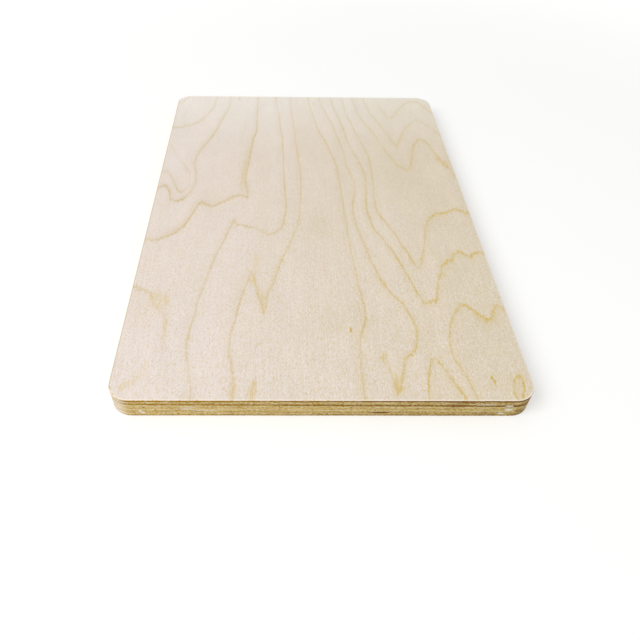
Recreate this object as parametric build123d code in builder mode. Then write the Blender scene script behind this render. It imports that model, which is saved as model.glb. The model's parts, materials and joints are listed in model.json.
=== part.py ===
"""Plywood sheet: nine veneers laid with their grain crossing, trimmed to a rounded rectangle.

Millimetres. The sheet lies flat on its back veneer. +X runs across the sheet, +Y along the
face grain and +Z up through the plies. The origin is the middle of the underside.
"""

import os

from build123d import *

# Outline that the pressed sheet is trimmed to
sheet_width = 200.0
sheet_length = 300.0
corner_radius = 10.5

# Pressed thickness of each kind of veneer: the outer two are thinned by sanding
face_thickness = 1.2
crossband_thickness = 1.5
inner_thickness = 1.2

# Sanded easing of the arris around the face and around the back
arris_radius = 0.4

# The balanced lay-up, from the underside up. The grain of the outer veneers, the inner
# plies and the centre ply runs along +Y, and the grain of the crossbands along +X.
lay_up = [
    ("back_veneer", face_thickness),
    ("crossband_4", crossband_thickness),
    ("inner_ply_2", inner_thickness),
    ("crossband_3", crossband_thickness),
    ("centre_ply", inner_thickness),
    ("crossband_2", crossband_thickness),
    ("inner_ply_1", inner_thickness),
    ("crossband_1", crossband_thickness),
    ("face_veneer", face_thickness),
]


def veneer(name, base, thickness):
    """One veneer, trimmed to the sheet's outline, with its underside at the height base."""
    with BuildPart() as ply:
        with BuildSketch(Plane.XY.offset(base)):
            RectangleRounded(sheet_width, sheet_length, corner_radius)
        extrude(amount=thickness)
        if name == "face_veneer":
            fillet(ply.faces().sort_by(Axis.Z)[-1].edges(), arris_radius)
        if name == "back_veneer":
            fillet(ply.faces().sort_by(Axis.Z)[0].edges(), arris_radius)
    ply.part.label = name
    return ply


os.makedirs("parts", exist_ok=True)
height = 0.0
for ply_name, ply_thickness in lay_up:
    piece = veneer(ply_name, height, ply_thickness)
    export_step(piece.part, f"parts/{ply_name}.step")
    height += ply_thickness
print(f"{len(lay_up)} plies, {height:.1f} mm thick")
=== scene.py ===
"""Plywood sheet: nine crossed veneers with a sanded, ring-figured face, each in its packed place.

Metres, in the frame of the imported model: +X across the sheet, +Y along the face grain, +Z up.
"""

import json
import math
from functools import cached_property, reduce
from types import SimpleNamespace

import bpy
import numpy as np
from mathutils import Euler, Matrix, Vector, kdtree, noise


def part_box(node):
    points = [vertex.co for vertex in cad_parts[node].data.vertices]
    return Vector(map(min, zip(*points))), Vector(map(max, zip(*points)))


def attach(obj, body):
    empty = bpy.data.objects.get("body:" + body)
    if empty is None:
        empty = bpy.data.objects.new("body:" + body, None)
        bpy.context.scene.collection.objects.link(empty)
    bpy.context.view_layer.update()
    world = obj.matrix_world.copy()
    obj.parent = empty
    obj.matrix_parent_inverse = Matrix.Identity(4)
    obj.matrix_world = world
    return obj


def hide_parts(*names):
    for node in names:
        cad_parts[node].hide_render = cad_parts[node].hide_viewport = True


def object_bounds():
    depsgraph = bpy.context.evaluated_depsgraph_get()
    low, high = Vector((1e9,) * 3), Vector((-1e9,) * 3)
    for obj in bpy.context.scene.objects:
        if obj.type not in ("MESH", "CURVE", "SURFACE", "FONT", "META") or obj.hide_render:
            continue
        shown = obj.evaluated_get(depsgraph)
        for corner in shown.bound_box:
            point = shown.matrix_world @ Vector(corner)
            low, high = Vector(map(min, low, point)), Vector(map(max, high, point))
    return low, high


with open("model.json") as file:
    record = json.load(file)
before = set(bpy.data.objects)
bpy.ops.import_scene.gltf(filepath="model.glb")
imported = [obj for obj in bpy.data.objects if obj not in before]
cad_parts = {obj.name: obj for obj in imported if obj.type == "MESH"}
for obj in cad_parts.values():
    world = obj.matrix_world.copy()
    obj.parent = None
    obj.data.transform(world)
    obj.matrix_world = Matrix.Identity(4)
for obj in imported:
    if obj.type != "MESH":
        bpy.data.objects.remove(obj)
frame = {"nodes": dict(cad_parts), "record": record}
cad_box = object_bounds()

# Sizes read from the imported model
mm = 0.001
touch = 0.01 * mm
low_corner, high_corner = cad_box
half_width = (high_corner.x - low_corner.x) / 2
half_length = (high_corner.y - low_corner.y) / 2
thickness = high_corner.z - low_corner.z
slot_of = {part["node"]: part["material_slot"] for part in frame["record"]["subparts"]}


def node_points(node):
    """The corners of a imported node's mesh."""
    return np.array([vertex.co for vertex in frame["nodes"][node].data.vertices])


# Corner radius: how far the straight of a short edge stops from the side
ply_points = node_points("centre_ply")
short_edge = ply_points[ply_points[:, 1] > half_length - touch]
corner_radius = half_width - np.abs(short_edge[:, 0]).max()

# Radius of the eased arris: how far the upright of a side stops below the face
face_points = node_points("face_veneer")
upright = face_points[face_points[:, 0] > half_width - touch]
arris_radius = high_corner.z - upright[:, 2].max()

# Half sizes of the rectangle through the corner centres
straight = np.array([half_width - corner_radius, half_length - corner_radius])

# Half sizes of the sheet in millimetres, which the materials count in
side_mm = half_width / mm
end_mm = half_length / mm

# Fineness of the meshes, and the step at which ring lines are sampled
face_columns = 240
face_cell = 0.9 * mm
corner_steps = 20
arris_steps = 4
rim_spacing = 0.5 * mm
rim_rows = 6
ring_step = 0.12 * mm

# Growth rings on the face. Each has its level, which rises from ring to ring across the sheet, the
# half width of its dark line in millimetres, and its points: percent shares of the half width and
# half length. A third number is how strongly the line shows from there on, and a fourth how much
# haze lies on its lower side. A point given twice keeps its corner sharp.
plain_haze = 0.25
face_ring_shares = dict(
    left_corner=(-5, 0.8, [
        (-104, 88, 0.7), (-98, 91), (-94, 96), (-90, 104)]),
    left_bay=(-4, 0.9, [
        (-69, 104, 0.5), (-70, 97), (-70.7, 88), (-74.5, 80, 0.65), (-79.5, 73), (-84.5, 69, 0.8),
        (-90, 67), (-97, 65), (-104, 68)]),
    left_eye=(-4, 0.6, [
        (-104, 53, 0.3), (-97, 49), (-93, 43, 0.4), (-88, 35.8), (-83.6, 29.8, 0.6), (-80.6, 25, 0.4),
        (-79, 19), (-80, 13, 0.7), (-83, 10.7, 1.2), (-86, 10.7, 1.4), (-90, 18, 0.8), (-93, 23),
        (-97, 27), (-100, 25), (-104, 24)]),
    left_fold=(-3, 0.9, [
        (-60, 104, 0.5), (-58.5, 93), (-59, 87, 0.6), (-62.5, 77, 0.8, 0.6), (-64.5, 70),
        (-67, 62, 1), (-70, 55, 0.9), (-73, 50, 0.8), (-77, 42, 0.7, 0.25), (-78.4, 36), (-77.7, 30),
        (-75.8, 24), (-75.3, 18), (-77.5, 10), (-82, 4.5, 1.3), (-87, 2.5, 1.6), (-90, 6, 1),
        (-92, 12), (-95, 15.5), (-98, 14), (-100, 12), (-104, 11)]),
    left_step=(-2, 0.75, [
        (-37.5, 104, 0.7), (-36.9, 87), (-37, 73, 0.9), (-36.4, 63, 1.1), (-38.6, 57),
        (-39.8, 47, 1, 0.5), (-40.6, 37, 0.8, 1.6), (-41.4, 30, 0.7), (-42.5, 23),
        (-42, 17, 0.9, 1.3), (-40.7, 12, 0.9, 0.8), (-40, 6.5, 1.1), (-40, 6.5), (-45, 8, 1, 0.8),
        (-50, 7, 1, 0.5), (-54, 3.7, 1.2), (-60, 1), (-62, 0), (-66, 1.5), (-70, 2.2),
        (-71.7, 0, 1.1), (-74, -5), (-76.7, -12, 0.9, 0.8), (-82, -18, 0.9, 1), (-90, -22, 1),
        (-95, -23, 1.1, 0.6), (-98, -22), (-101, -24), (-104, -24)]),
    left_notch=(-1, 0.65, [
        (-23, 104, 0.7), (-22, 93), (-21, 85), (-20, 77), (-19, 67, 0.9), (-18, 57), (-17.5, 47, 1),
        (-17, 33, 1.2), (-17, 23, 1), (-16.5, 13), (-16, 7), (-15.5, 0), (-16.5, -7), (-18, -13),
        (-20.4, -16), (-25, -19, 1, 0.5), (-28, -18), (-32, -16), (-38, -14), (-45, -13, 1, 0.25),
        (-47, -12), (-48, -8.7), (-48, -8.7), (-49.4, -13), (-51.7, -20), (-54.5, -27), (-57.3, -33),
        (-59, -41), (-62, -51), (-64, -61, 1), (-65.4, -70), (-66.5, -77), (-65.5, -83, 0.8),
        (-63.5, -89), (-61.5, -95), (-60, -104)]),
    middle_peak=(0, 0.65, [
        (-11, 104, 0.45), (-11, 87), (-9.7, 77, 0.55), (-8.9, 67), (-8, 53, 0.85), (-7.2, 43),
        (-6.4, 33), (-5.6, 23, 0.8), (-5.8, 13), (-6.6, 3), (-7.4, -7), (-8.9, -13, 0.9), (-12, -20),
        (-14.7, -27, 0.8), (-17.8, -32, 0.85), (-20.4, -38.5, 0.9, 0.5), (-22.6, -45, 1.1),
        (-24, -49, 1.2), (-25.8, -52, 1.1, 0.8), (-26.6, -55, 0.9), (-27.3, -60), (-28.5, -62.8, 0.7),
        (-28.5, -62.8), (-30.7, -57, 0.7), (-32, -52, 0.7, 0.6), (-34, -47, 0.7), (-36, -41.5),
        (-36, -41.5), (-38, -48, 1, 0.4), (-39.6, -53, 1, 0.25), (-42, -60), (-43, -67), (-45, -73),
        (-45, -80), (-43, -87), (-41.7, -93), (-41, -104)]),
    right_bow=(1, 0.6, [
        (3, 104, 0.7), (3.5, 93), (5.4, 83), (7.4, 72, 0.9), (9.2, 63), (12.7, 55), (15.4, 47),
        (17.3, 40), (19, 33), (20, 27), (20, 17), (20.7, 7), (20.5, -3), (21, -13), (21.5, -23),
        (22, -33), (23, -43), (24, -53), (25.3, -61, 1.1), (24.4, -67, 1.5), (22, -71, 1.2),
        (20.6, -76, 1), (19.8, -80), (19.2, -86, 1.3), (19.2, -92), (20, -104)]),
    right_flame=(2, 0.65, [
        (11, 104, 0.6), (13, 90), (16.6, 80), (19.5, 72, 0.8), (21.5, 63), (23.8, 53, 0.9), (25.5, 43),
        (26.2, 33), (27, 30), (29, 23), (30, 17), (29.4, 10, 1.1), (27.3, 5, 0.9), (26, -3),
        (26.5, -10), (28, -17), (30.5, -25), (32.2, -33), (34, -40), (36.8, -45, 1.2, 0.6),
        (38.2, -49.5), (40, -52, 1.1, 0.25), (44, -55), (48, -61), (50, -68), (49.8, -73), (48.5, -78),
        (46, -80.5, 1.3), (43, -82.5, 1.6), (40.8, -84), (39.7, -87), (38.5, -91), (37, -94.5),
        (35.2, -97.5), (35.2, -97.5), (33.8, -92, 0.9), (32.5, -86, 0.5), (31, -81, 0.3),
        (29.5, -77, 0), (28, -79), (27, -88), (27, -104)]),
    right_tongue=(3, 0.65, [
        (21, 104, 0.7), (22, 90), (24, 83), (26, 75), (28, 65, 0.9), (29, 58), (30, 52), (31.5, 47),
        (33, 41), (35, 36, 1.2), (37, 30), (38, 23), (37, 13), (36, 5), (35, 0), (36, -8), (37, -15),
        (41, -20), (45.3, -27), (47.6, -32.5, 1.2), (50.2, -38), (52, -43.5), (54, -50, 1.1),
        (55.8, -54), (57, -58.2, 1.3), (58.6, -57.4, 1.5), (61.5, -56.2), (64.6, -56.2),
        (65.6, -52.5, 1.2), (66.8, -49), (68.4, -44.5), (70.6, -42.2, 1.6), (72, -39), (73, -36.6),
        (75.4, -36), (76.6, -34.2, 1.8), (78.4, -34.6), (80.4, -31.4, 1.6), (83, -29.6), (84.6, -28),
        (87, -30), (90, -32), (93, -30), (97, -29), (104, -31)]),
    inner_tongue=(4, 0.65, [
        (30, 104, 0.6), (31, 87), (32, 79), (35, 70, 0.8), (36, 63), (38, 57), (40, 50), (42, 43),
        (43, 37), (43, 30), (42.5, 20), (41.5, 10), (41, 0, 1), (42, -5), (45, -10), (49, -17),
        (52.4, -25, 1.1), (55, -31.5), (57.5, -37), (58.5, -38.8, 0.7), (59.8, -38.4), (60.7, -36, 1.1),
        (62.4, -33), (64.2, -29.2), (65.6, -25), (68, -17, 1), (70, -12), (73, -8, 1.3),
        (77, -5, 1.5), (80, -4), (84, -4), (88, -2), (92, -1), (96, -3), (104, -6)]),
    high_tongue=(5, 0.75, [
        (38, 104, 0.5), (39, 93), (40.4, 83), (42.2, 77), (45.4, 71, 0.7), (48, 65), (51.6, 57),
        (53.4, 50, 0.9), (56.4, 43, 0.7), (59.7, 37), (62.4, 32.2), (65.2, 30), (67.2, 28.4),
        (69.7, 30.8), (71.7, 35, 0.9), (73.6, 41), (75.3, 47), (77.3, 51), (80.8, 54.7), (83, 56.5),
        (86, 55), (89, 50), (90, 45, 0.75), (91.7, 40), (94, 35), (97.3, 30, 0.8), (99, 25),
        (104, 20)]),
    upper_tongue=(6, 0.9, [
        (47, 104, 0.5), (48, 93), (50, 85), (52.7, 77), (56.8, 70), (58.6, 65), (60, 60), (62, 54.5),
        (64, 49.5, 0.7), (66, 51.5), (68, 56), (71.4, 62.5), (74.6, 67, 0.7), (78.5, 70.7, 0.5),
        (82, 74), (86, 75), (90, 73), (94, 68), (97.3, 63), (104, 56)]),
    top_tongue=(7, 0.9, [
        (54, 104, 0.35), (58, 93), (60, 85), (62, 80, 0.5), (65, 76.5), (68.5, 79, 0.7), (72, 84.7),
        (75.8, 88.7), (79, 92.5), (84.2, 95.5), (89, 96), (93.5, 91), (97, 86), (104, 77)]),
    right_bay=(2, 0.62, [
        (104, -64, 1.1), (99.5, -61), (95.6, -57.6), (93.5, -60.5, 1.5), (91, -64, 1.6, 0.6),
        (88.4, -66.3), (85.4, -64), (82.4, -61, 1.5, 0.25), (80, -59), (77.8, -57.6), (75, -59.3),
        (72.5, -61.5), (69.8, -65.2), (66.9, -71, 1.3), (65, -77), (65.2, -83, 1.1), (67.6, -87.5),
        (69.8, -92), (72.5, -104)]),
    front_peak=(2, 0.55, [
        (48, -104, 1.5), (49.5, -96), (50.5, -92), (52, -88), (54.5, -82.5), (57.5, -83.5), (60, -88),
        (62.4, -92), (65, -97), (68.5, -104)]),
    front_drop=(1, 0.45, [
        (90.7, -104, 1.8), (89.9, -99.2), (89.5, -97), (90.1, -94.5), (91.4, -91.8), (94.2, -89.6),
        (95.4, -91.5), (95.1, -94), (94.1, -96.8), (92.6, -99), (91.7, -104)]),
    left_haze=(-2, 0.9, [
        (-104, -48, 0.9), (-96, -50.5, 1), (-90, -51.8, 0.9), (-88, -56, 0.7), (-85.5, -59.5, 0.5),
        (-80, -63, 0.3), (-78, -70), (-77.5, -77, 0.15), (-77, -85, 0), (-76, -104)]),
)


def place_of(share):
    """A place on the sheet, from percent shares of its half width and half length."""
    return np.array(share[:2]) / 100 * (half_width, half_length)


def corner_cut(points, rounds=2):
    """A line with its corners cut off, a quarter of each run at a time."""
    for _ in range(rounds):
        start, end = points[:-1], points[1:]
        cut = np.empty((2 * len(start), points.shape[1]))
        cut[0::2] = start + (end - start) / 4
        cut[1::2] = end - (end - start) / 4
        points = np.concatenate([points[:1], cut, points[-1:]])
    return points


def evenly_spaced(points, step):
    """A line of points, resampled at equal steps along it."""
    run = np.hypot(*np.diff(points[:, :2], axis=0).T)
    along = np.concatenate([[0], np.cumsum(run)])
    wanted = np.linspace(0, along[-1], max(2, int(along[-1] / step)))
    return np.stack([np.interp(wanted, along, column) for column in points.T], axis=1)


def ring_lines(ring_shares):
    """Each ring as (level, half width in mm, smooth line of x, y, strength and haze)."""
    lines = []
    for level, line_half, shares in ring_shares.values():
        points = []
        strength = 1.0
        haze = plain_haze
        for share in shares:
            strength = share[2] if len(share) > 2 else strength
            haze = share[3] if len(share) > 3 else haze
            points.append((*place_of(share), strength, haze))
        lines.append((level, line_half, corner_cut(np.array(points))))
    return lines


# A wide arc round the sheet closes each ring line, to tell its two sides apart
detour_radius = 10 * half_length
detour_points = 12


def is_odd(lines, places):
    """True where a place lies across an odd number of the ring lines."""
    odd = np.zeros(len(places), bool)
    for _, _, line in lines:
        start = math.atan2(line[0, 1], line[0, 0])
        end = math.atan2(line[-1, 1], line[-1, 0])
        around = np.linspace(end, start, detour_points)
        detour = detour_radius * np.stack([np.cos(around), np.sin(around)], axis=1)
        loop = np.concatenate([line[:, :2], detour])
        for (x1, y1), (x2, y2) in zip(loop, np.roll(loop, -1, axis=0)):
            spans = (y1 > places[:, 1]) != (y2 > places[:, 1])
            at = np.flatnonzero(spans)
            crossing = x1 + (places[at, 1] - y1) / (y2 - y1) * (x2 - x1)
            odd[at] ^= places[at, 0] < crossing
    return odd


def ring_field(ring_shares, places):
    """Two vectors for each place: (signed gap to the nearest ring in mm, the gap's slope along X
    and Y), and (that ring's haze, signed for its side, its strength, its half width in mm)."""
    lines = ring_lines(ring_shares)
    spots = []
    normals = []
    looks = []
    for level, line_half, line in lines:
        even = evenly_spaced(line, ring_step)
        run = np.gradient(even[:, :2], axis=0)
        run /= np.hypot(*run.T)[:, None]
        side = 1.0 - 2.0 * (level % 2)
        spots.append(even[:, :2])
        normals.append(np.column_stack([-run[:, 1], run[:, 0]]))
        looks.append(np.column_stack([side * even[:, 3], even[:, 2], np.full(len(even), line_half)]))
    spots, normals, looks = (np.concatenate(rows) for rows in (spots, normals, looks))
    tree = kdtree.KDTree(len(spots))
    for number, (x, y) in enumerate(spots):
        tree.insert((x, y, 0), number)
    tree.balance()
    found = [tree.find((x, y, 0)) for x, y in places]
    near = [number for _, number, _ in found]
    distance = np.array([gap for _, _, gap in found])
    odd = is_odd(lines, np.concatenate([places, np.zeros((1, 2))]))
    region = np.where(odd[:-1] == odd[-1], 1.0, -1.0)
    across = np.einsum("ij,ij->i", places - spots[near], normals[near])
    turned = region * np.where(across < 0, -1.0, 1.0)
    ring = np.column_stack([region * distance / mm, turned[:, None] * normals[near]])
    return ring, looks[near]


# The rings of the back are the levels of a tilted bowl with waves in it. Each wave has its height,
# how often it turns along the sheet and across it, and where it starts.
bowl_rise = 5.2
bowl_share = 0.18
bowl_tilt = 2.3
back_waves = [
    (0.935, 2.1, 0.0, 0.8),
    (0.476, 5.3, 2.2, 0.0),
    (0.17, 11.0, -4.0, 0.0),
    (0.6, 1.4, 3.1, 0.0),
]
back_strength = 0.75
back_line_half = 0.65


def back_level(x, y):
    """How high the back's bowl lies at shares of the half width and half length."""
    level = bowl_rise * (x - bowl_share) ** 2 + bowl_tilt * x
    for height, along, across, start in back_waves:
        level += height * np.sin(along * y + across * x + start)
    return level


def back_field(places):
    """The same two vectors for the back."""
    step = 0.001
    least_rise = 0.01
    x = places[:, 0] / half_width
    y = places[:, 1] / half_length
    level = back_level(x, y)
    rise_x = (back_level(x + step, y) - back_level(x - step, y)) / (2 * step * side_mm)
    rise_y = (back_level(x, y + step) - back_level(x, y - step)) / (2 * step * end_mm)
    steep = np.maximum(np.hypot(rise_x, rise_y), least_rise)
    nearest = np.round(level)
    side = 1.0 - 2.0 * (nearest % 2)
    gap = side * (level - nearest) / steep
    ring = np.column_stack([gap, side * rise_x / steep, side * rise_y / steep])
    same = np.tile((back_strength, back_line_half), (len(places), 1))
    return ring, np.column_stack([side * plain_haze, same])


# Marks on the face: percent shares of the half width and half length, half sizes in millimetres,
# how strongly they show, and how warm they are, from a tan blot at 0 to a gold knot at 1
face_mark_shares = [
    ((16.5, -70.5), (0.9, 2.6), 1, 0.55),
    ((6.8, 92), (1.5, 4), 0.5, 0.2),
    ((-51.5, 97), (2, 4), 0.4, 0),
    ((-32.8, -96.5), (2.4, 9), 0.6, 0.25),
    ((-31.6, -93.5), (1.2, 5), 0.6, 0.25),
    ((-41.8, -96), (1.8, 10), 0.6, 0),
    ((-87, -55), (2.4, 6), 0.45, 0),
    ((-84, -56), (3.6, 8), 0.6, 0),
    ((-80.5, -57), (2.8, 9), 0.6, 0),
    ((-78.5, -70), (1.6, 14), 0.5, 0),
    ((-29.3, -57.5), (1.9, 9), 0.6, 0),
    ((-28.3, -60.6), (1.3, 3.2), 0.5, 0),
    ((-31.8, -53), (1.7, 8), 0.6, 0),
    ((-34.6, -46), (2.4, 8), 0.6, 0),
    ((-33.5, -36), (2.6, 11), 0.4, 0),
    ((91.8, 38), (3.4, 7), 0.75, 0.1),
    ((95, 34.2), (3.4, 7.5), 0.8, 0.1),
    ((-44, 24), (2.4, 22), 0.4, 0),
    ((31, -83), (1.9, 4.5), 0.9, 0.1),
    ((36.6, -46), (2.2, 6.5), 0.45, 0),
    ((57.2, -84.9), (1.3, 1.6), 0.8, 0.2),
    ((87.2, -65.2), (2.8, 3), 0.6, 0),
    ((35.5, -93.5), (2.6, 7.5), 0.7, 0),
    ((81, -91.1), (1.2, 1.6), 1, 0.4),
    ((81.9, -92.4), (1, 1.8), 1, 0.4),
    ((81.6, -94), (0.7, 1.8), 0.8, 0.3),
    ((94.2, -90.6), (2, 1.9), 0.9, 0.1),
    ((-85, -87.5), (2.2, 6), 0.35, 0),
    ((-88, -91), (2.2, 5), 0.4, 0),
    ((-90.5, -93.5), (2.4, 4), 0.4, 0),
    ((-93.5, -95), (2.6, 3.5), 0.4, 0),
    ((-99.4, -95.2), (0.8, 1.5), 1, 1),
    ((-97.6, -97.9), (1.2, 1.2), 1, 1),
]
back_mark_shares = [
    ((38, 24), (1.1, 3), 0.9, 1),
    ((-22, -61), (0.8, 2.2), 0.9, 0.9),
    ((-57, 72), (1.8, 6), 0.5, 0.2),
    ((12, -88), (2.4, 8), 0.4, 0),
    ((71, -35), (1.6, 7), 0.5, 0.1),
]

# Tinted patches of the face: percent shares, half sizes in millimetres, and how cool each is
face_tint_shares = [
    ((-92, 36), (7, 16), 1),
    ((-20, 40), (8, 60), 0.5),
    ((-60, -72), (16, 30), 0.5),
    ((-88, -82), (12, 26), 0.4),
    ((34, 45), (9, 40), 0.6),
    ((83, 28), (6, 18), 0.7),
    ((48, -12), (12, 26), 0.9),
    ((42, -48), (14, 30), 0.6),
    ((80, -22), (12, 10), 0.5),
    ((30, -22), (8, 40), 0.4),
    ((-48, -25), (12, 30), 0.5),
    ((-12, -48), (7, 22), 0.5),
    ((3, -13), (8, 16), -1),
    ((-3, 66), (7, 44), -0.5),
    ((8, -68), (14, 14), -0.6),
    ((62, 18), (11, 22), -0.3),
    ((-66, 6), (12, 10), -0.5),
    ((-92, -62), (7, 10), -0.6),
    ((88, 88), (32, 34), -0.5),
    ((-66, 98), (38, 20), 0.25),
    ((0, -98), (80, 34), 0.28),
]


def oval_gap(places, share, half_sizes):
    """How far each place is from the middle of an oval, whose rim is at 1."""
    return np.hypot(*((places - place_of(share)) / (np.array(half_sizes) * mm)).T)


def mark_field(mark_shares, places):
    """One vector for each place: the gap to the nearest mark's middle, its strength and its warmth."""
    no_mark = (9.0, 0.0, 0.0)
    field = np.tile(no_mark, (len(places), 1))
    for share, half_sizes, strength, warmth in mark_shares:
        gap = oval_gap(places, share, half_sizes)
        nearer = gap < field[:, 0]
        field[nearer, 0] = gap[nearer]
        field[nearer, 1:] = strength, warmth
    return field


def ground_field(tint_shares, places):
    """One vector for each place: how far inside the outline it lies in mm, and how cool its tint is."""
    tint = np.zeros(len(places))
    for share, half_sizes, coolness in tint_shares:
        tint += coolness * np.exp(-oval_gap(places, share, half_sizes) ** 2)
    return np.column_stack([inside_outline(places) / mm, tint, np.zeros(len(places))])


def inside_outline(places):
    """How far each place lies inside the outline of the sheet."""
    over = np.abs(places) - straight
    beyond = np.hypot(*np.maximum(over, 0).T)
    return corner_radius - beyond - np.minimum(over.max(axis=1), 0)


def tone(red, green, blue):
    """A linear colour from display levels of 255, by the sRGB curve."""
    shares = [level / 255 for level in (red, green, blue)]
    return [share / 12.92 if share <= 0.04045 else ((share + 0.055) / 1.055) ** 2.4 for share in shares]


class NodeNet:
    """The nodes of a material or a world, added one at a time. Its look holds the sockets that have
    a name, which the tables of noise, eases and weights go by."""

    def __init__(self, owner):
        owner.use_nodes = True
        self.owner = owner
        self.tree = owner.node_tree
        self.look = SimpleNamespace()

    @cached_property
    def place(self):
        """Where each point of the object lies, in millimetres."""
        return self.scaled(self.node("ShaderNodeTexCoord").outputs["Object"], 1 / mm)

    def node(self, kind, *values, **settings):
        """A new node with its settings, and with its first sockets fed."""
        made = self.tree.nodes.new(kind)
        for name, value in settings.items():
            setattr(made, name, value)
        self.feed(made, dict(enumerate(values)))
        return made

    def feed(self, node, values):
        """Links a node's sockets to values that are sockets, and sets them to other values."""
        for key, value in values.items():
            socket = node.inputs[key]
            if isinstance(value, bpy.types.NodeSocket):
                self.tree.links.new(value, socket)
            elif socket.type == "RGBA":
                socket.default_value = (*value, 1)
            else:
                socket.default_value = value

    def math(self, operation, *values):
        return self.node("ShaderNodeMath", *values, operation=operation).outputs[0]

    def times(self, *values):
        return reduce(lambda product, value: self.math("MULTIPLY", product, value), values)

    def total(self, *terms):
        """The sum of the terms. A term in brackets is the product of its values."""
        values = [self.times(*term) if isinstance(term, tuple) else term for term in terms]
        return reduce(lambda result, value: self.math("ADD", result, value), values)

    def weigh(self, weights, start=0.0):
        """The sum of named looks, each times its weight, from a start."""
        terms = [(getattr(self.look, name), weight) for name, weight in weights.items()]
        return self.total(start, *terms)

    def vector(self, operation, *values):
        made = self.node("ShaderNodeVectorMath", *values, operation=operation)
        return made.outputs["Value"] if operation in ("DOT_PRODUCT", "LENGTH") else made.outputs[0]

    def scaled(self, vector, scale):
        made = self.node("ShaderNodeVectorMath", vector, operation="SCALE")
        self.feed(made, {"Scale": scale})
        return made.outputs[0]

    def split(self, vector, *names):
        """Keeps the parts of a vector under their names."""
        for name, part in zip(names, self.node("ShaderNodeSeparateXYZ", vector).outputs):
            setattr(self.look, name, part)

    def attribute(self, name, *part_names):
        """Keeps the parts of a vector that the mesh stores for each vertex."""
        self.split(self.node("ShaderNodeAttribute", attribute_name=name).outputs["Vector"], *part_names)

    def noises(self, rows):
        """Keeps smooth noise about 0, from about -0.5 to 0.5, for each row: how long its lumps are in
        millimetres, how many finer layers it has, how rough those are, and how far it is shifted."""
        for name, (sizes, detail, roughness, shift) in rows.items():
            shifted = self.vector("ADD", self.place, (shift, shift, shift))
            stretched = self.vector("DIVIDE", shifted, sizes)
            made = self.node("ShaderNodeTexNoise", noise_dimensions="3D")
            self.feed(made, {"Vector": stretched, "Scale": 1, "Detail": detail, "Roughness": roughness})
            setattr(self.look, name, self.math("SUBTRACT", made.outputs["Fac"], 0.5))

    def ease(self, value, start, end, low=0.0, high=1.0):
        """Eases from low to high as value goes from start to end, and stays level outside."""
        smooth = {"interpolation_type": "SMOOTHSTEP"}
        return self.node("ShaderNodeMapRange", value, start, end, low, high, **smooth).outputs[0]

    def eases(self, rows):
        """Keeps an ease for each row: the look that it follows, then its start, end, low and high."""
        for name, (followed, *span) in rows.items():
            setattr(self.look, name, self.ease(getattr(self.look, followed), *span))

    def blend(self, share, first, second):
        made = self.node("ShaderNodeMix", share, data_type="RGBA")
        self.feed(made, {6: first, 7: second})
        return made.outputs[2]

    def lay(self, colour, layers):
        """The colour with layers laid over it in turn: each its tone and the product of its shares."""
        for layer_tone, *shares in layers:
            colour = self.blend(self.times(*shares), colour, layer_tone)
        return colour

    def background_rays(self):
        """1 for camera, glossy and transmission rays, which see the white background, and else 0."""
        path = self.node("ShaderNodeLightPath").outputs
        seen = self.math("MAXIMUM", path["Is Camera Ray"], path["Is Glossy Ray"])
        return self.math("MAXIMUM", seen, path["Is Transmission Ray"])

    def finish(self, colour, rough, shine, relief, lift):
        """Feeds the shader its colour, roughness, shine and a bump of lift metres."""
        bump = self.node("ShaderNodeBump")
        self.feed(bump, {"Strength": 1.0, "Distance": lift, "Height": relief})
        shader = self.tree.nodes["Principled BSDF"]
        self.feed(shader, {"Base Color": colour, "Roughness": rough, "Specular IOR Level": shine})
        self.feed(shader, {"Normal": bump.outputs[0]})
        return self.owner


# Tones of the face. A pair is the tone on the left of the sheet and that on its right.
# The cream is darker and yellower on the right: partly the veneer's tone, partly painted shade away from
# the lamp on the left
face_cream_and_shade = tone(230, 217, 206), tone(223, 209, 185)
ring_gold = tone(199, 171, 84), tone(209, 178, 66)
# The paler tone towards the back is partly painted light
face_back_and_light = tone(242, 236, 226)
face_pink = tone(235, 218, 206)
face_grey = tone(222, 213, 194)
blot_tan = tone(214, 186, 104)
knot_gold = tone(198, 158, 46)
fleck_tan = tone(208, 183, 124)
fleck_pale = tone(245, 241, 245)
# The arris tones are painted light: a painted shade on the left arris, which the lamp lights, and a
# painted highlight elsewhere
arris_painted_shade = tone(206, 188, 168)
arris_painted_highlight = tone(252, 246, 236)
arris_amber = tone(234, 192, 88)

# How much a tint of 1 lifts the ground's red, green and blue, as shares
cool_lift = (0.04, 0.055, 0.11)

# Looks of the face: its noise, what eases in and out, and weights in sums. The weights along and
# across the fibres are how many millimetres each noise shakes the rings by.
face_noise = dict(
    streak=((12, 190, 12), 3, 0.6, 0),
    mottle=((14, 30, 14), 2, 0.5, 0),
    small_mottle=((5, 9, 5), 2, 0.5, 91),
    grain=((0.9, 26, 0.9), 1, 0.5, 7),
    fleck=((0.42, 1.15, 0.42), 1, 0.5, 0),
    pore=((0.22, 2.6, 0.22), 1, 0.5, 0),
    fibre=((0.8, 9, 0.8), 2, 0.6, 0),
    jag=((0.9, 1.8, 0.9), 2, 0.6, 23),
    wander=((4, 10, 4), 1, 0.5, 31),
    dash=((0.7, 1.5, 0.7), 2, 0.6, 57),
    patch=((10, 24, 10), 1, 0.5, 83),
    speck=((1.3, 1.3, 1.3), 1, 0.5, 11),
    hair=((0.6, 6, 0.6), 2, 0.6, 37),
    strand=((0.7, 3.6, 0.7), 2, 0.6, 77),
)
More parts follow.
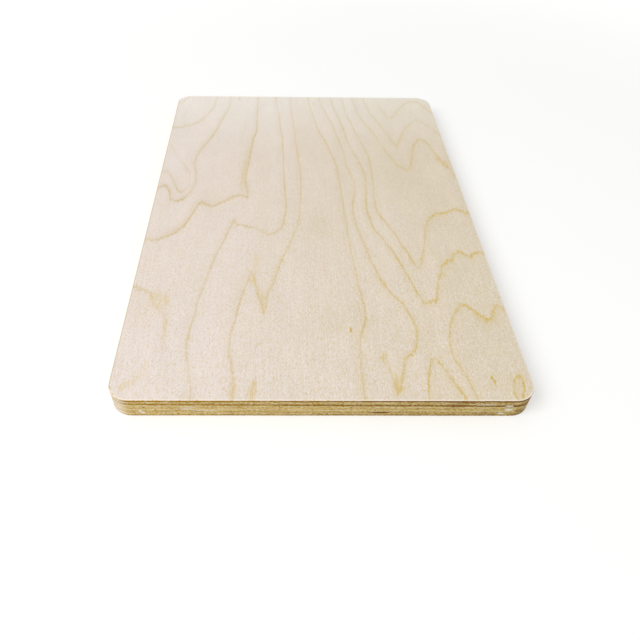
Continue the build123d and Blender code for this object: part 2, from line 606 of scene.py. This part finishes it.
face_eases = dict(
    drift=("x", -side_mm, side_mm),
    back_fade=("y", 0.35 * end_mm, 1.05 * end_mm, 0, 0.75),
    grey_streak=("streak", 0, 0.3, 0, 0.35),
    pink_streak=("streak", 0, -0.3, 0, 0.35),
    focus_along=("y", -end_mm, end_mm, 1.12, 0.42),
    focus_across=("x", -side_mm, 0, 0.84, 1),
    tan_fleck=("fleck", 0, -0.42),
    pale_fleck=("fleck", 0, 0.46),
    open_pore=("pore", 0.14, 0.26),
    tan_pore=("pore", 0.14, 0.26, 0, 0.2),
    far=("y", 0.2 * end_mm, end_mm),
    far_fade=("y", 0.2 * end_mm, end_mm, 1, 0.75),
    dashes=("dash", -0.15, 0.12, 0.5, 1),
    patches=("patch", -0.25, 0.15, 0.6, 1),
    front=("y", -0.93 * end_mm, -0.985 * end_mm),
    back=("y", 0.96 * end_mm, 0.99 * end_mm),
    rim=("inside", 1, 0.3),
    back_rim=("inside", 3, 0.2, 0, 0.55),
    front_rim=("inside", 1.1, 0.4),
    # Masks of the painted shade and the painted highlights on the arris
    left_rose=("drift", 0, 0.5, 0.85, 0),
    right_pale=("drift", 0.5, 1, 0, 0.6),
    front_pale=("x", -0.98 * side_mm, -0.91 * side_mm, 0.15, 0.55),
    front_amber=("drift", 1, 0.2, 0.2, 0.9),
    specks=("speck", 0.1, 0.18),
    hairiness=("warmth", 0, 1, 2.2, 0.6),
    wholeness=("warmth", 0, 0.5, 0.15, 1),
)
ring_eases = dict(
    tail=("away", 5, 0),
    haze_start=("beside", -0.5, 0.3),
    haze_end=("beside", 7, 0),
    haze_fibre=("fibre", -0.2, 0.2, 0.4, 1),
)
face_weights = SimpleNamespace(
    shade={"mottle": 0.085, "small_mottle": 0.068, "sharp_grain": 0.13},
    along={"fibre": 8, "wander": 3},
    across={"jag": 2.2, "wander": 1},
    spread={"level_run": 1, "far": 0.45},
    cover={"core": 0.54, "tail": 0.06, "haze": 0.32},
    rough={"fleck": 0.25, "ring": -0.08},
    relief={"fleck": 0.6, "open_pore": -0.5, "ring": 0.3},
)
line_spread = 1.35
mark_rim = (1.1, 0.3)
strand_range = (-0.12, 0.14)
face_rough = 0.6
face_shine = 0.35
face_lift = 0.018 * mm


def ground_tone(net):
    """Ground of the face: it drifts across the sheet, partly painted shade to the right and painted light
    to the back, with streaks, mottle and flecks.
    """
    look = net.look
    focus = net.times(look.focus_along, look.focus_across)
    look.sharp_grain = net.times(look.grain, focus)
    ground = net.lay(net.blend(look.drift, *face_cream_and_shade), [
        (face_back_and_light, look.back_fade),
        (face_grey, look.grey_streak),
        (face_pink, look.pink_streak),
    ])
    ground = net.vector("MULTIPLY", ground, net.vector("ADD", net.scaled(cool_lift, look.tint), (1, 1, 1)))
    ground = net.scaled(ground, net.weigh(face_weights.shade, 1.0))
    return net.lay(ground, [
        (fleck_tan, look.tan_fleck, focus),
        (fleck_pale, look.pale_fleck, focus),
        (fleck_tan, look.tan_pore),
    ])


def ring_cover(net):
    """How much the rings cover: lines shaken along the fibres, broken into dashes, hazy on one side."""
    look = net.look
    shaken = net.total(look.gap, (look.slope_y, net.weigh(face_weights.along)),
                       (look.slope_x, net.weigh(face_weights.across)))
    look.away = net.math("ABSOLUTE", shaken)
    look.beside = net.times(shaken, net.math("SIGN", look.side_haze), -1.0)
    look.level_run = net.math("ABSOLUTE", look.slope_y)
    net.eases(ring_eases)
    spread = net.times(look.line_half, net.weigh(face_weights.spread, line_spread))
    look.core = net.times(net.ease(look.away, spread, 0.0), look.dashes)
    look.haze = net.times(look.haze_start, look.haze_end, look.haze_fibre,
                          net.math("ABSOLUTE", look.side_haze))
    return net.times(net.weigh(face_weights.cover), look.strength, look.patches, look.far_fade)


def arris_tone(net, ground):
    """The eased arris: painted shade on the left, which faces the lamp, and a painted highlight on the
    other sides, with amber specks in front.
    """
    look = net.look
    sides = net.math("SUBTRACT", 1.0, net.total(look.front, look.back))
    return net.lay(ground, [
        (arris_painted_shade, look.rim, sides, look.left_rose),
        (arris_painted_highlight, look.rim, sides, look.right_pale),
        (arris_painted_highlight, look.back_rim, look.back),
        (arris_painted_highlight, look.front_rim, look.front, look.front_pale),
        (arris_amber, look.rim, look.front, look.specks, look.front_amber),
    ])


def mark_tone(net, ground):
    """Marks on the face: small ovals with hairy rims, the tan ones torn into strands."""
    look = net.look
    spot = net.ease(net.total(look.mark_gap, (look.hair, look.hairiness)), *mark_rim)
    strands = net.ease(look.strand, *strand_range, look.wholeness, 1.0)
    mark = net.blend(look.warmth, blot_tan, knot_gold)
    return net.lay(ground, [(mark, spot, look.mark_strength, strands)])


def face_material(name):
    """Sanded veneer face: cream ground, ragged gold rings and small marks."""
    net = NodeNet(bpy.data.materials.new(name))
    look = net.look
    net.split(net.place, "x", "y")
    net.attribute("ring", "gap", "slope_x", "slope_y")
    net.attribute("ring_look", "side_haze", "strength", "line_half")
    net.attribute("mark", "mark_gap", "mark_strength", "warmth")
    net.attribute("ground", "inside", "tint")
    net.noises(face_noise)
    net.eases(face_eases)
    look.ring = ring_cover(net)
    colour = net.lay(ground_tone(net), [(net.blend(look.drift, *ring_gold), look.ring)])
    colour = mark_tone(net, arris_tone(net, colour))
    rough = net.weigh(face_weights.rough, face_rough)
    return net.finish(colour, rough, face_shine, net.weigh(face_weights.relief), face_lift)


# Tones of the edges: end grain, long grain, and what shows on both
# A pair is the tone on the left and that on the right. The end grain darker on the right is partly painted
# shade away from the lamp
end_dark_and_shade = tone(178, 134, 36), tone(142, 92, 0)
end_light = tone(230, 200, 130), tone(232, 201, 122)
long_light = tone(238, 214, 150), tone(244, 221, 150)
long_dark = tone(190, 153, 62)
grit_pale = tone(253, 246, 230)
grit_brown = tone(146, 102, 10)
glue_brown = tone(130, 92, 32)
# Brown of the voids, also laid as painted shade in dark patches by the right end of the front edge
gap_and_shade_brown = tone(122, 68, 0)
chip_pale = tone(252, 249, 242)
# A painted highlight: edges facing the left are paler, most near the front left corner
side_painted_highlight = tone(250, 243, 234)

# Looks of the edges, as those of the face. Streaks of the long grain are longer along the grain.
streak_along = 7
streak_across = 2
streak_up = 0.3
edge_noise = dict(
    pore=((0.45, 0.45, 0.4), 2, 0.7, 0),
    scuff=((1.1, 1.1, 0.8), 2, 0.7, 29),
    growth=((26, 26, 0.5), 2, 0.6, 19),
    patch=((11, 11, 1.6), 2, 0.5, 43),
    torn=((1.6, 1.6, 0.5), 2, 0.6, 67),
    grit=((1.4, 1.4, 0.6), 2, 0.6, 53),
    thread=((6, 6, 0.45), 2, 0.6, 97),
    waver=((2, 2, 2), 2, 0.5, 71),
)
edge_eases = dict(
    drift=("x", -side_mm, side_mm),
    # shade is painted shade: the edges darker towards the right
    shade=("x", -side_mm, side_mm, 1.04, 0.88),
    end=("end_facing", 0.35, 0.85),
    open_grain=("end_facing", 0.35, 0.85, 1, 0.5),
    banded=("end_facing", 0.35, 0.85, 1, 0.6),
    pale_tear=("torn", 0.1, 0.22),
    pale_grit=("grit", 0.05, 0.22, 0, 0.85),
    brown_grit=("grit", -0.05, -0.22, 0, 0.75),
    pale_thread=("thread", 0.08, 0.26, 0, 0.65),
    # left_side and by_corner place the painted highlight on the edges that face the left
    left_side=("left_facing", 0, 0.6),
    side_glue=("left_facing", 0, 0.6, 0.35, 0.8),
    by_corner=("y", -0.8 * end_mm, -0.96 * end_mm, 0.25, 0.8),
    glue=("glue_gap", 0.12, 0.02),
)
edge_weights = SimpleNamespace(
    end={"pore": 0.9, "scuff": 2.4, "growth": 0.8, "patch": 1.2},
    long={"streak": 1.3, "patch": 0.8, "pore": 0.7, "scuff": 2.2, "pale_tear": 0.5},
    glue_gap={"waver": 0.08},
    rough={"pore": 0.2},
    relief={"pore": 0.5, "streak": 0.5, "grit": 0.6, "glue": -0.4},
)
edge_rough = 0.72
edge_shine = 0.12
edge_lift = 0.06 * mm


def edge_material(name, grain, end_level, long_level):
    """Sawn and sanded edge of one ply: end grain where the grain meets the edge, else long grain."""
    net = NodeNet(bpy.data.materials.new(name))
    look = net.look
    net.split(net.place, "x", "y")
    net.attribute("rim_look", "across", "void", "chip")
    sizes = [streak_along if part else streak_across for part in grain[:2]]
    net.noises({**edge_noise, "streak": ((*sizes, streak_up), 3, 0.6, 5)})
    normal = net.node("ShaderNodeNewGeometry").outputs["Normal"]
    look.end_facing = net.math("ABSOLUTE", net.vector("DOT_PRODUCT", normal, grain))
    look.left_facing = net.vector("DOT_PRODUCT", normal, (-1, 0, 0))
    edge_gap = net.math("MINIMUM", look.across, net.math("SUBTRACT", 1.0, look.across))
    look.glue_gap = net.weigh(edge_weights.glue_gap, edge_gap)
    net.eases(edge_eases)

    # End grain has pores, scuffs of the saw and growth lines, and long grain streaks and pale tears
    end_share = net.ease(net.weigh(edge_weights.end, end_level), 0.0, 1.0)
    end_tone = net.blend(end_share, net.blend(look.drift, *end_dark_and_shade), net.blend(look.drift, *end_light))
    long_share = net.ease(net.weigh(edge_weights.long, long_level), 0.0, 1.0)
    long_tone = net.blend(long_share, long_dark, net.blend(look.drift, *long_light))
    colour = net.lay(net.blend(look.end, long_tone, end_tone), [
        (grit_pale, look.pale_grit, look.open_grain),
        (grit_brown, look.brown_grit),
        (grit_pale, look.pale_thread, look.open_grain),
        # Painted highlight on the edges that face the lamp on the left
        (side_painted_highlight, look.left_side, look.by_corner, look.banded),
        (glue_brown, look.glue, look.side_glue),
    ])
    # Painted shade darkens the edges towards the right
    colour = net.lay(net.scaled(colour, look.shade), [(gap_and_shade_brown, look.void), (chip_pale, look.chip)])
    rough = net.weigh(edge_weights.rough, edge_rough)
    return net.finish(colour, rough, edge_shine, net.weigh(edge_weights.relief), edge_lift)


def outline():
    """Round the sheet from the front left: points of the rectangle through the corner centres, and
    the direction outward from each. A radius along the direction reaches the outline."""
    side, end = straight
    quarter = math.pi / 2
    turn_count = max(1, round(corner_radius * quarter / rim_spacing))
    turn = np.linspace(0, quarter, turn_count, endpoint=False)
    centres = np.array([(-side, -end), (side, -end), (side, end), (-side, end)])
    cores = []
    angles = []
    for number, (centre, following) in enumerate(zip(centres, np.roll(centres, -1, axis=0))):
        out = (number - 1) * quarter
        run_count = max(1, round(math.dist(centre, following) / rim_spacing))
        steps = np.linspace(0, 1, run_count, endpoint=False)[:, None]
        cores += [centre + steps * (following - centre), np.tile(following, (turn_count, 1))]
        angles += [np.full(run_count, out), out + turn]
    angle = np.concatenate(angles)
    return np.concatenate(cores), np.column_stack([np.cos(angle), np.sin(angle)])


def broad_grid():
    """The grid over a broad face, out to its eased arris: its places, its faces, and the numbers of
    its border points, round from the front left."""
    side, end = straight
    radius = corner_radius - arris_radius
    middle = np.linspace(-end, end, round(2 * end / face_cell) + 1)
    rounded = end + radius * np.sin(np.linspace(0, math.pi / 2, corner_steps + 1)[1:])
    rows = np.concatenate([-rounded[::-1], middle, rounded])
    over = np.clip(np.abs(rows) - end, 0, radius)
    reach = side + np.sqrt(radius ** 2 - over ** 2)
    x = reach[:, None] * np.linspace(-1, 1, face_columns + 1)
    places = np.column_stack([x.ravel(), np.repeat(rows, face_columns + 1)])
    number = np.arange(x.size).reshape(x.shape)
    faces = np.stack([number[:-1, :-1], number[:-1, 1:], number[1:, 1:], number[1:, :-1]], axis=2)
    border = np.concatenate([number[0, :-1], number[:-1, -1], number[-1, :0:-1], number[:0:-1, 0]])
    return places, faces.reshape(-1, 4), border


# How far the plies stray from their level at the edges, and how long their wavers are and how high
ply_sag = 0.3 * mm
ply_dip = 0.6 * mm
ply_waver = 0.3 * mm
waver_size = np.array([17, 17, 1.6]) * mm

# Wear of the sawn edges: the length and height of its ripples and torn fibres, how deep both are,
# how much deeper fibres tear where the grain runs along the edge, and how rare the tears are
ripple_size = np.array([5, 5, 0.9]) * mm
tear_size = np.array([2.6, 2.6, 0.3]) * mm
ripple_depth = 0.03 * mm
tear_depth = 0.08 * mm
long_tear_depth = 0.2 * mm
tear_start = 0.25

# The wear starts this share of the arris radius below a broad face
wear_start_share = 0.9

# Marks on the edges: percent shares of the half width, half length and thickness below the face,
# half length, half height and depth in millimetres, what shows there and how strongly
edge_mark_shares = [
    ((27.5, -100, 77), (5.5, 1.1, 0.3), "void", 0.85),
    ((87, -100, 28), (2.4, 0.6, 0.15), "chip", 0.8),
    ((87.4, -100, 51), (2.4, 0.75, 0.2), "chip", 1),
    ((84.4, -100, 76), (2, 0.7, 0.2), "chip", 1),
    ((-85, -100, 70), (1.2, 0.6, 0.15), "chip", 1),
    ((-83.8, -100, 80), (1.2, 0.6, 0.15), "chip", 1),
    ((-64, -100, 56), (4.5, 0.6, 0), "chip", 0.5),
    ((-54, -100, 66), (7, 0.6, 0), "chip", 0.5),
    ((-62, -100, 45), (4.5, 0.9, 0), "chip", 0.3),
    ((76, -100, 22), (6.5, 0.6, 0), "chip", 0.3),
    # The dark patches without depth from here on, by the right end of the front edge and round its right
    # corner, are partly painted shade
    ((62, -100, 25), (5.5, 2.2, 0), "void", 0.3),
    ((66, -100, 12), (7, 0.8, 0), "void", 0.45),
    ((76, -100, 84), (9, 0.7, 0), "void", 0.45),
    ((90.4, -100, 85), (2.6, 0.9, 0), "void", 0.5),
    ((92.8, -99.7, 62), (3, 1.2, 0), "void", 0.55),
    ((96, -98.6, 34), (3, 1.3, 0), "void", 0.5),
]


def edge_marks(points):
    """How deep each rim point is cut, and its shares of void, with painted shade, and of chip."""
    steepness = 2.5
    cut = np.zeros(len(points))
    shown = {"void": np.zeros(len(points)), "chip": np.zeros(len(points))}
    for share, (half_run, half_high, depth), kind, strength in edge_mark_shares:
        along = np.hypot(*(points[:, :2] - place_of(share)).T) / (half_run * mm)
        up = (points[:, 2] - high_corner.z + share[2] / 100 * thickness) / (half_high * mm)
        near = np.clip(steepness * (1 - np.hypot(along, up)), 0, 1)
        cut = np.maximum(cut, near * depth * mm)
        shown[kind] = np.maximum(shown[kind], near * strength)
    return cut, shown["void"], shown["chip"]


def lumps_at(points, sizes):
    """Smooth noise at each point, from about -1 to 1, whose lumps have these sizes."""
    return np.array([noise.noise(Vector(point)) for point in points / sizes])


def rim_wear(points, outward, grain):
    """How far the sanded edge lies inside the outline: small ripples and torn fibres."""
    lengthways = 1 - np.abs(outward @ np.array(grain[:2]))
    ripple = ripple_depth * (1 + lumps_at(points, ripple_size))
    tear = np.maximum(0, lumps_at(points, tear_size) - tear_start)
    return ripple + tear * (tear_depth + long_tear_depth * lengthways)


def lay_shift(points):
    """How far the plies at each rim point stray from their level: the inner ones sag, most to the
    right, and every glue line wavers."""
    depth = np.minimum(points[:, 2] - low_corner.z, high_corner.z - points[:, 2])
    first_line = high_corner.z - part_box("face_veneer")[0].z
    second_line = high_corner.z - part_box("crossband_1")[0].z
    dip = -ply_sag - ply_dip * points[:, 0] / half_width
    dip *= np.interp(depth, (first_line, second_line), (0, 1))
    waver = ply_waver * lumps_at(points, waver_size)
    return dip + waver * np.interp(depth, (arris_radius, first_line), (0, 1))


def rim_profile(outer, inner, broad_face):
    """Insets and heights of a rim's loops, from its outer side inward: the eased arris where there
    is a broad face, and the wall."""
    insets = [0.0]
    heights = [outer]
    if broad_face:
        turn = np.linspace(0, math.pi / 2, arris_steps + 1)[1:]
        insets = list(arris_radius * (1 - np.sin(turn)))
        heights = list(outer - broad_face * arris_radius * (1 - np.cos(turn)))
    wall = np.linspace(heights[-1], inner, rim_rows + 1)[1:]
    return insets + [0.0] * rim_rows, heights + list(wall)


def worn_rim(core, outward, outer, inner, grain, broad_face):
    """Points of a rim, loop by loop from its outer side inward, and a vector for each: how far
    across the ply it lies, and its shares of void, with painted shade, and of chip."""
    points = []
    looks = []
    for inset, height in zip(*rim_profile(outer, inner, broad_face)):
        loop = np.column_stack([core + outward * (corner_radius - inset), np.full(len(core), height)])
        drop = abs(height - outer)
        worn = np.clip(drop / arris_radius - wear_start_share, 0, 1) if broad_face else 1.0
        cut, void, chip = edge_marks(loop)
        depth = np.maximum(rim_wear(loop, outward, grain) * worn, cut)
        loop[:, 2] += lay_shift(loop)
        loop[:, :2] -= outward * depth[:, None]
        across = 1 - drop / abs(inner - outer)
        points.append(loop)
        looks.append(np.column_stack([np.full(len(core), across), void, chip]))
    return np.concatenate(points), np.concatenate(looks)


def loft_faces(loops):
    """Faces of a rim between loops of points, row by row, wound so that they face outward."""
    rows = []
    for upper, lower in zip(loops[:-1], loops[1:]):
        rows.append(np.stack([upper, lower, np.roll(lower, -1), np.roll(upper, -1)], axis=1))
    return np.array(rows)


# Each veneer's own bake map, in shares of the map. A broad face fills the lower part, with its rim
# above it in strips; else the strips fill the map. A glued face, which doesn't show, is a small
# disc: the place of its middle and its radius.
map_margin_share = 0.005
broad_map_shares = np.array([0.99, 0.86])
strip_margin_share = 0.01
strip_fill_share = 0.8
strips_top_share = 0.995
broad_map = SimpleNamespace(strips=12, strips_share=0.88, disc_shares=(0.5, 0.8725), radius_share=0.004)
thin_map = SimpleNamespace(strips=24, strips_share=0.06, disc_shares=(0.03, 0.03), radius_share=0.02)


def strip_map(rows, columns, strips, low_share):
    """Map places of a rim cut into strips, laid above each other from a height up: for each row and
    column of faces, its four corners."""
    per_strip = math.ceil(columns / strips)
    pitch = (strips_top_share - low_share) / strips
    width = (1 - 2 * strip_margin_share) / per_strip
    height = strip_fill_share * pitch / rows
    row, column = np.mgrid[:rows, :columns]
    left = strip_margin_share + width * (column % per_strip)
    start = low_share + pitch * (column // per_strip) + height * row
    right = left + width
    end = start + height
    corners = [(left, start), (left, end), (right, end), (right, start)]
    return np.stack([np.stack(corner, axis=2) for corner in corners], axis=2)


def mesh_of(name, vertices, patches):
    """A mesh of patches: each has its faces, the map places of their corners, the number of its
    material and whether it is shaded smooth."""
    faces, map_places, slots, smooth = zip(*patches)
    rows = [patch.reshape(-1, patch.shape[-1]).tolist() for patch in faces]
    counts = [len(patch) for patch in rows]
    made = bpy.data.meshes.new(name)
    made.from_pydata(vertices.tolist(), [], sum(rows, []))
    layer = made.uv_layers.new(name="OFBake")
    layer.data.foreach_set("uv", np.concatenate([places.ravel() for places in map_places]))
    made.polygons.foreach_set("material_index", np.repeat(slots, counts).tolist())
    made.polygons.foreach_set("use_smooth", np.repeat(smooth, counts).tolist())
    return made


def add_object(name, data):
    """A new object in the scene."""
    made = bpy.data.objects.new(name, data)
    bpy.context.scene.collection.objects.link(made)
    return made


def add_vectors(mesh, name, values):
    """Stores one vector for each vertex of the mesh."""
    made = mesh.attributes.new(name, "FLOAT_VECTOR", "POINT")
    made.data.foreach_set("vector", np.asarray(values, np.float32).ravel())


def add_figure(mesh, places, is_top):
    """Stores the rings, marks and ground of a broad face on its mesh."""
    ring, look = ring_field(face_ring_shares, places) if is_top else back_field(places)
    add_vectors(mesh, "ring", ring)
    add_vectors(mesh, "ring_look", look)
    add_vectors(mesh, "mark", mark_field(face_mark_shares if is_top else back_mark_shares, places))
    add_vectors(mesh, "ground", ground_field(face_tint_shares if is_top else [], places))


def build_veneer(node, grain, looks, broad_face=0):
    """One veneer in its packed place: a worn rim, and a fine grid on its broad face if it has one,
    1 for the top of the sheet or -1 for the underside. Its looks are of a broad face and an edge."""
    face_slot, edge_slot = 0, 1
    low, high = (corner.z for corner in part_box(node))
    outer, inner = (low, high) if broad_face < 0 else (high, low)
    if broad_face:
        places, quads, border = broad_grid()
        core = np.clip(places[border], -straight, straight)
        outward = places[border] - core
        outward /= np.hypot(*outward.T)[:, None]
    else:
        places = np.empty((0, 2))
        core, outward = outline()
    rim_points, rim_looks = worn_rim(core, outward, outer, inner, grain, broad_face)
    vertices = np.concatenate([np.column_stack([places, np.full(len(places), outer)]), rim_points])
    loops = list(np.arange(len(places), len(vertices)).reshape(-1, len(core)))

    layout = broad_map if broad_face else thin_map
    disc = layout.disc_shares + layout.radius_share * outward
    if broad_face:
        loops.insert(0, border)
        shares = places / (half_width, half_length) / 2 + 0.5
        patches = [(quads, (map_margin_share + broad_map_shares * shares)[quads], face_slot, True)]
    else:
        patches = [(loops[0], disc, edge_slot, False)]
    rim = loft_faces(loops)
    rim_map = strip_map(len(rim), len(core), layout.strips, layout.strips_share)
    eased = arris_steps // 2 if broad_face else 0
    patches.append((rim[:eased], rim_map[:eased], face_slot, True))
    patches.append((rim[eased:], rim_map[eased:], edge_slot, True))
    patches.append((loops[-1][::-1], disc[::-1], edge_slot, False))

    mesh = mesh_of(node + "_skin", vertices, patches)
    plain_looks = np.tile((1.0, 0.0, 0.0), (len(places), 1))
    add_vectors(mesh, "rim_look", np.concatenate([plain_looks, rim_looks]))
    if broad_face:
        add_figure(mesh, vertices[:, :2], broad_face > 0)
    if broad_face < 0:
        mesh.flip_normals()
    for look in looks:
        mesh.materials.append(look)
    mesh.validate()
    piece = add_object(node + "_skin", mesh)
    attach(piece, "root")
    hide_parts(node)


# How light each ply is on its edges: its end grain and its long grain. At 0 most of it is dark, and
# at 1 most of it is light.
edge_levels = {
    "face_veneer": (-0.15, 0.8),
    "crossband_1": (0.42, 0.5),
    "inner_ply_1": (0.1, 0.8),
    "crossband_2": (0.46, 0.7),
    "centre_ply": (0.9, 0.8),
    "crossband_3": (0.46, 0.75),
    "inner_ply_2": (0.66, 0.8),
    "crossband_4": (0.42, 0.58),
    "back_veneer": (0.42, 0.8),
}

along_sheet = (0.0, 1.0, 0.0)
across_sheet = (1.0, 0.0, 0.0)
broad_faces = {"face_veneer": 1, "back_veneer": -1}
broad_look = face_material("birch_face")
for ply, (end_level, long_level) in edge_levels.items():
    ply_grain = across_sheet if slot_of[ply] == "crossband_birch" else along_sheet
    edge_look = edge_material(ply + "_edge", ply_grain, end_level, long_level)
    build_veneer(ply, ply_grain, [broad_look, edge_look], broad_faces.get(ply, 0))

# The floor: how far it reaches and lies below the sheet, its tone, and how brightly it glows for
# the camera, near the sheet and far from it
floor_reach = 20 * half_length
floor_drop = 0.2 * mm
floor_tone = (0.6, 0.6, 0.585)
floor_glow = (1.6 * end_mm, 6 * end_mm, 0.44, 0.66)

# The light: the level of the even fill, and the place, size and power in watts of the soft lamp
fill_level = 0.6
lamp_place = Vector((-1.02, -0.62, 1.15))
lamp_size = 0.9
lamp_power = 15.5


def stage_floor():
    """A pale floor just under the sheet that keeps its shadow and shows white beyond it."""
    net = NodeNet(bpy.data.materials.new("floor_white"))
    net.tree.nodes.remove(net.tree.nodes["Principled BSDF"])
    level = net.ease(net.vector("LENGTH", net.place), *floor_glow)
    matt = net.node("ShaderNodeBsdfDiffuse", floor_tone)
    glow = net.node("ShaderNodeEmission", (1, 1, 1), net.times(net.background_rays(), level))
    both = net.node("ShaderNodeAddShader", matt.outputs[0], glow.outputs[0])
    net.feed(net.tree.nodes["Material Output"], {"Surface": both.outputs[0]})

    mesh = bpy.data.meshes.new("floor")
    ends = ((-1, -1), (1, -1), (1, 1), (-1, 1))
    corners = [(x * floor_reach, y * floor_reach, -floor_drop) for x, y in ends]
    mesh.from_pydata(corners, [], [(0, 1, 2, 3)])
    mesh.materials.append(net.owner)
    floor = add_object("floor", mesh)


def stage_light():
    """Even fill from the world, and one large soft lamp to the left of the sheet."""
    net = NodeNet(bpy.data.worlds.new("studio"))
    level = net.ease(net.background_rays(), 0.0, 1.0, fill_level, 1.0)
    net.feed(net.tree.nodes["Background"], {"Color": (1, 1, 1), "Strength": level})
    bpy.context.scene.world = net.owner

    lamp = bpy.data.lights.new("key", "AREA")
    lamp.shape = "SQUARE"
    lamp.size = lamp_size
    lamp.energy = lamp_power
    key = add_object("key", lamp)
    key.location = lamp_place
    key.rotation_euler = (-lamp_place).to_track_quat("-Z", "Y").to_euler()


def place_camera():
    """The camera in front of the sheet and above it, a little to the left of its middle."""
    picture = 640
    focal_pixels = 590.5
    axis_pixel = 285.65
    near_clip = 10 * mm
    place = Vector((-21.52, -309.37, 233.29)) * mm
    elevation = math.radians(46.44)
    heading = math.radians(1.27)
    roll = math.radians(1.12)
    camera = bpy.data.cameras.new("camera")
    camera.lens = focal_pixels / picture * camera.sensor_width
    camera.shift_x = (picture / 2 - axis_pixel) / picture
    camera.clip_start = near_clip
    view = add_object("camera", camera)
    look = Euler((math.pi / 2 - elevation, 0, -heading)).to_matrix()
    view.matrix_world = (look @ Euler((0, 0, roll)).to_matrix()).to_4x4()
    view.location = place
    bpy.context.scene.camera = view


stage_floor()
stage_light()
place_camera()
bpy.context.scene.view_settings.view_transform = "Standard"
